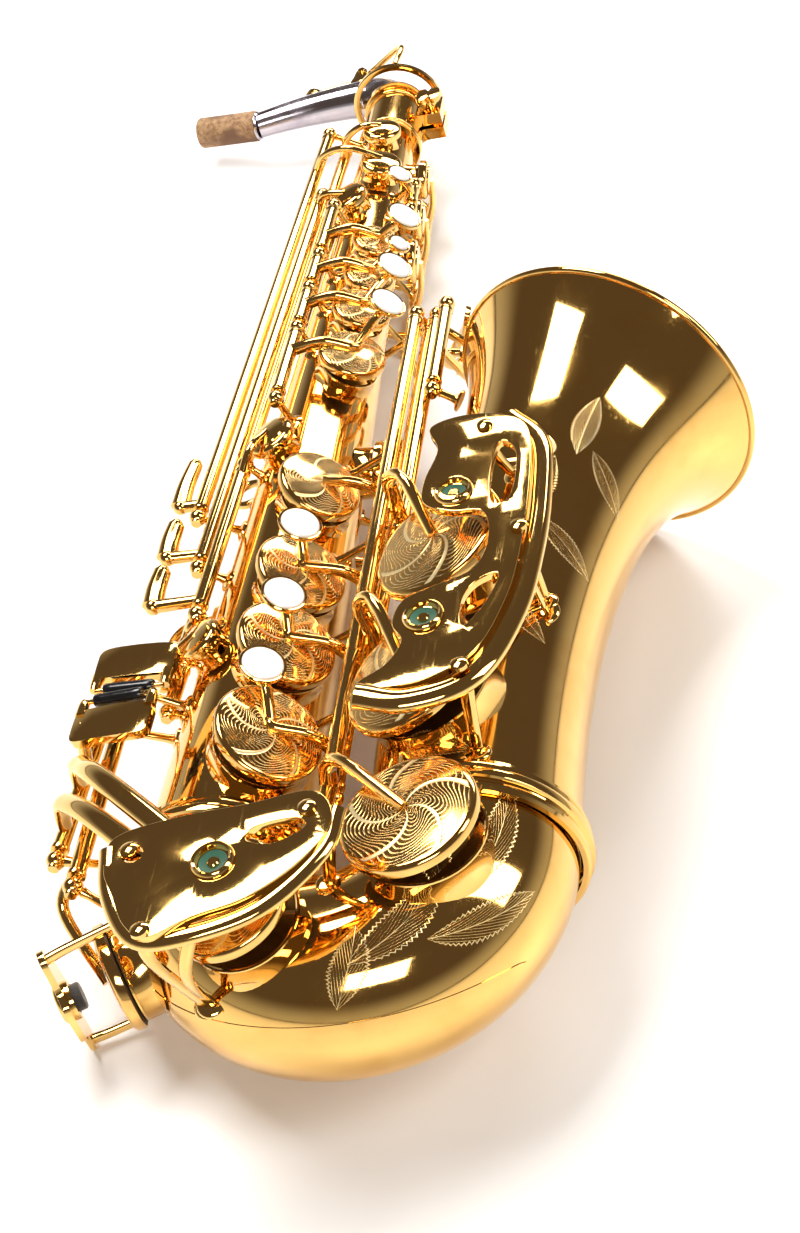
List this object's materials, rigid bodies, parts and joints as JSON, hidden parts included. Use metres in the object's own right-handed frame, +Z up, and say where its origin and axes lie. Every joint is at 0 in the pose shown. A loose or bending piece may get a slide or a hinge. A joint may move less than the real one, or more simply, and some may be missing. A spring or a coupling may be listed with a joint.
{
  "type": "saxophone",
  "caption": "Lacquered brass alto saxophone with hinged keys on pivot rods, swivelling neck with cork, key guards and pearl touches.",
  "frame": {"origin": "centre of the bounding box, at its lowest face, with the instrument lying on its left side", "axes": "+Y along the body tube towards the neck, +X towards the bell, +Z up"},
  "size_m": [0.2858, 0.6214, 0.125],
  "materials": {
    "lacquer": "clear gold lacquer, mirror polished",
    "nickel_silver": "plated, polished",
    "cork": "matt pressed cork",
    "pearl": "glossy mother-of-pearl",
    "black_roller": "glossy",
    "black_plastic": "satin",
    "felt": "matt felt",
    "steel": "ground"
  },
  "bodies": {
    "body": {"body_tube": "lacquer", "bow": "lacquer", "bell": "lacquer", "body_bow_ring": "lacquer", "bow_bell_ring": "lacquer", "bow_guard_plate": "lacquer", "bell_brace": "lacquer", "neck_receiver": "lacquer", "strap_ring": "lacquer", "thumb_hook": "lacquer", "thumb_rest": "black_plastic", "guard_low_b_bb": "lacquer", "guard_low_c": "lacquer", "guard_low_eb": "lacquer", "guard_screws": "lacquer", "guard_felts": "felt", "body_posts": "lacquer", "bell_posts": "lacquer", "pivot_rods": "steel"},
    "neck": {"neck_tube": "nickel_silver", "neck_cork": "cork"},
    "neck_octave": {"neck_octave_key": "lacquer"},
    "clamp_screw": {"neck_clamp_screw": "lacquer"},
    "roller_c": {"roller_low_c": "black_roller"},
    "roller_eb": {"roller_low_eb": "black_roller"},
    "key_d_body": {"key_d": "lacquer", "pearl_d": "pearl"},
    "key_e_body": {"key_e": "lacquer", "pearl_e": "pearl"},
    "key_f_body": {"key_f": "lacquer", "pearl_f": "pearl"},
    "key_fork_f_sharp_body": {"key_fork_f_sharp": "lacquer"},
    "key_g_body": {"key_g": "lacquer", "pearl_g": "pearl"},
    "key_a_body": {"key_a": "lacquer", "pearl_a": "pearl"},
    "key_bis_body": {"key_bis": "lacquer", "pearl_bis": "pearl"},
    "key_b_body": {"key_b": "lacquer", "pearl_b": "pearl"},
    "key_low_c_sharp_body": {"key_low_c_sharp": "lacquer"},
    "key_low_b_body": {"key_low_b": "lacquer"},
    "key_low_bb_body": {"key_low_bb": "lacquer"},
    "key_low_c_body": {"key_low_c": "lacquer"},
    "key_low_eb_body": {"key_low_eb": "lacquer"},
    "key_g_sharp_touch_body": {"key_g_sharp_touch": "lacquer"},
    "key_g_sharp_body": {"key_g_sharp": "lacquer"},
    "key_side_e_body": {"key_side_e": "lacquer"},
    "key_side_c_body": {"key_side_c": "lacquer"},
    "key_side_bb_body": {"key_side_bb": "lacquer"},
    "key_high_f_sharp_body": {"key_high_f_sharp": "lacquer"},
    "key_trill_f_sharp_body": {"key_trill_f_sharp": "lacquer"},
    "key_palm_d_body": {"key_palm_d": "lacquer"},
    "key_palm_eb_body": {"key_palm_eb": "lacquer"},
    "key_palm_f_body": {"key_palm_f": "lacquer"},
    "key_front_f_body": {"key_front_f": "lacquer", "pearl_front_f": "pearl"},
    "key_octave_thumb_body": {"key_octave_thumb": "lacquer"}
  },
  "joints": [
    {"name": "key_d_hinge", "type": "hinge", "parent": "body", "child": "key_d_body", "pos_m": [0.00588, -0.22052, 0.05947], "axis": [0, 1, 0.0068], "range_deg": [-9, 0], "stiffness_Nm_per_rad": 0.097, "springref_deg": 17.19},
    {"name": "key_e_hinge", "type": "hinge", "parent": "body", "child": "key_e_body", "pos_m": [0.00588, -0.22052, 0.05947], "axis": [0, 1, 0.0068], "range_deg": [-9, 0], "stiffness_Nm_per_rad": 0.091, "springref_deg": 17.19},
    {"name": "key_f_hinge", "type": "hinge", "parent": "body", "child": "key_f_body", "pos_m": [0.00588, -0.22052, 0.05947], "axis": [0, 1, 0.0068], "range_deg": [-9, 0], "stiffness_Nm_per_rad": 0.085, "springref_deg": 17.19},
    {"name": "key_fork_f_sharp_hinge", "type": "hinge", "parent": "body", "child": "key_fork_f_sharp_body", "pos_m": [0.00588, -0.22052, 0.05947], "axis": [0, 1, 0.0068], "range_deg": [-8, 0], "stiffness_Nm_per_rad": 0.074, "springref_deg": 17.19},
    {"name": "key_g_hinge", "type": "hinge", "parent": "body", "child": "key_g_body", "pos_m": [-0.04596, -0.01455, 0.06523], "axis": [0.0136, 0.9996, -0.0237], "range_deg": [0, 7], "stiffness_Nm_per_rad": 0.066, "springref_deg": -17.19},
    {"name": "key_a_hinge", "type": "hinge", "parent": "body", "child": "key_a_body", "pos_m": [-0.04596, -0.01455, 0.06523], "axis": [0.0136, 0.9996, -0.0237], "range_deg": [0, 7], "stiffness_Nm_per_rad": 0.052, "springref_deg": -17.19},
    {"name": "key_bis_hinge", "type": "hinge", "parent": "body", "child": "key_bis_body", "pos_m": [-0.04596, -0.01455, 0.06523], "axis": [0.0136, 0.9996, -0.0237], "range_deg": [0, 6], "stiffness_Nm_per_rad": 0.036, "springref_deg": -17.19},
    {"name": "key_b_hinge", "type": "hinge", "parent": "body", "child": "key_b_body", "pos_m": [-0.04596, -0.01455, 0.06523], "axis": [0.0136, 0.9996, -0.0237], "range_deg": [0, 7], "stiffness_Nm_per_rad": 0.036, "springref_deg": -17.19},
    {"name": "key_low_c_sharp_hinge", "type": "hinge", "parent": "body", "child": "key_low_c_sharp_body", "pos_m": [0.00594, -0.2396, 0.07052], "axis": [0, 1, 0.0068], "range_deg": [0, 9], "stiffness_Nm_per_rad": 0.172, "springref_deg": -17.19},
    {"name": "key_low_b_hinge", "type": "hinge", "parent": "body", "child": "key_low_b_body", "pos_m": [0.01121, -0.16955, 0.06472], "axis": [0, 1, 0.0068], "range_deg": [0, 8], "stiffness_Nm_per_rad": 0.125, "springref_deg": -17.19},
    {"name": "key_low_bb_hinge", "type": "hinge", "parent": "body", "child": "key_low_bb_body", "pos_m": [0.01466, -0.10559, 0.07094], "axis": [0, 1, 0.0068], "range_deg": [0, 8], "stiffness_Nm_per_rad": 0.131, "springref_deg": -17.19},
    {"name": "key_low_c_hinge", "type": "hinge", "parent": "body", "child": "key_low_c_body", "pos_m": [-0.0857, -0.23741, 0.04319], "axis": [0.0328, 0.9994, 0.0126], "range_deg": [0, 5], "stiffness_Nm_per_rad": 0.354, "springref_deg": -17.19},
    {"name": "key_low_eb_hinge", "type": "hinge", "parent": "body", "child": "key_low_eb_body", "pos_m": [-0.07475, -0.25346, 0.05009], "axis": [0, 1, 0.0068], "range_deg": [0, 6], "stiffness_Nm_per_rad": 0.055, "springref_deg": -17.19},
    {"name": "key_g_sharp_touch_hinge", "type": "hinge", "parent": "body", "child": "key_g_sharp_touch_body", "pos_m": [0.0188, -0.02363, 0.0768], "axis": [0, 1, 0.0068], "range_deg": [0, 8], "stiffness_Nm_per_rad": 0.03, "springref_deg": -17.19},
    {"name": "key_g_sharp_hinge", "type": "hinge", "parent": "body", "child": "key_g_sharp_body", "pos_m": [-0.00292, -0.03924, 0.01853], "axis": [0, 1, 0.0068], "range_deg": [0, 10], "stiffness_Nm_per_rad": 0.03, "springref_deg": -17.19},
    {"name": "key_side_e_hinge", "type": "hinge", "parent": "body", "child": "key_side_e_body", "pos_m": [-0.0697, -0.06944, 0.04873], "axis": [0.031, 0.9995, -0.0057], "range_deg": [-8, 0], "stiffness_Nm_per_rad": 0.031, "springref_deg": 17.19},
    {"name": "key_side_c_hinge", "type": "hinge", "parent": "body", "child": "key_side_c_body", "pos_m": [-0.06294, -0.10146, 0.05114], "axis": [0.0289, 0.9995, -0.0099], "range_deg": [-10, 0], "stiffness_Nm_per_rad": 0.03, "springref_deg": 17.19},
    {"name": "key_side_bb_hinge", "type": "hinge", "parent": "body", "child": "key_side_bb_body", "pos_m": [-0.05707, -0.13149, 0.05565], "axis": [0.0248, 0.9996, -0.0155], "range_deg": [-10, 0], "stiffness_Nm_per_rad": 0.03, "springref_deg": 17.19},
    {"name": "key_high_f_sharp_hinge", "type": "hinge", "parent": "body", "child": "key_high_f_sharp_body", "pos_m": [-0.06448, -0.13337, 0.03763], "axis": [0.0331, 0.9995, 0.0022], "range_deg": [-10, 0], "stiffness_Nm_per_rad": 0.03, "springref_deg": 17.19},
    {"name": "key_trill_f_sharp_hinge", "type": "hinge", "parent": "body", "child": "key_trill_f_sharp_body", "pos_m": [-0.06295, -0.16639, 0.04056], "axis": [0.0324, 0.9995, -0.0013], "range_deg": [-10, 0], "stiffness_Nm_per_rad": 0.03, "springref_deg": 17.19},
    {"name": "key_palm_d_hinge", "type": "hinge", "parent": "body", "child": "key_palm_d_body", "pos_m": [-0.01087, 0.10687, 0.00339], "axis": [-0.0187, 0.9992, 0.0345], "range_deg": [0, 12], "stiffness_Nm_per_rad": 0.03, "springref_deg": -17.19},
    {"name": "key_palm_eb_hinge", "type": "hinge", "parent": "body", "child": "key_palm_eb_body", "pos_m": [-0.01087, 0.10687, 0.00339], "axis": [-0.0187, 0.9992, 0.0345], "range_deg": [0, 12], "stiffness_Nm_per_rad": 0.03, "springref_deg": -17.19},
    {"name": "key_palm_f_hinge", "type": "hinge", "parent": "body", "child": "key_palm_f_body", "pos_m": [-0.01087, 0.10687, 0.00339], "axis": [-0.0187, 0.9992, 0.0345], "range_deg": [0, 12], "stiffness_Nm_per_rad": 0.03, "springref_deg": -17.19},
    {"name": "key_front_f_hinge", "type": "hinge", "parent": "body", "child": "key_front_f_body", "pos_m": [-0.01103, 0.14854, 0.05259], "axis": [-0.0256, 0.9996, -0.0147], "range_deg": [0, 8], "stiffness_Nm_per_rad": 0.03, "springref_deg": -17.19},
    {"name": "key_octave_thumb_hinge", "type": "hinge", "parent": "body", "child": "key_octave_thumb_body", "pos_m": [-0.05386, 0.09274, 0.02198], "axis": [0.0289, 0.9993, 0.0235], "range_deg": [-6, 0], "stiffness_Nm_per_rad": 0.03, "springref_deg": 17.19},
    {"name": "neck_swivel", "type": "hinge", "parent": "body", "child": "neck", "pos_m": [-0.032, 0.25565, 0.03572], "axis": [0, 1, 0.0068], "range_deg": [-25, 25]},
    {"name": "clamp_turn", "type": "hinge", "parent": "body", "child": "clamp_screw", "pos_m": [-0.01181, 0.25663, 0.03929], "axis": [-0.1738, -0.0067, 0.9848], "range_deg": [0, 180]},
    {"name": "neck_octave_hinge", "type": "hinge", "parent": "neck", "child": "neck_octave", "pos_m": [-0.05366, 0.30568, 0.03223], "axis": [-0.1738, -0.0067, 0.9848], "range_deg": [-6, 0], "stiffness_Nm_per_rad": 0.06, "springref_deg": 17.19},
    {"name": "roller_c_spin", "type": "hinge", "parent": "key_low_c_body", "child": "roller_c", "pos_m": [-0.07153, -0.18591, 0.06789], "axis": [0.9659, -0.0016, 0.2589], "continuous": true},
    {"name": "roller_eb_spin", "type": "hinge", "parent": "key_low_eb_body", "child": "roller_eb", "pos_m": [-0.06948, -0.18037, 0.06675], "axis": [0.9848, -0.0012, 0.1738], "continuous": true}
  ],
  "couplings": [
    {"joint": "key_g_sharp_hinge", "follows": "key_g_sharp_touch_hinge", "ratio": 1.25},
    {"joint": "key_fork_f_sharp_hinge", "follows": "key_f_hinge", "ratio": 0.88889},
    {"joint": "neck_octave_hinge", "follows": "key_octave_thumb_hinge", "ratio": 1}
  ]
}
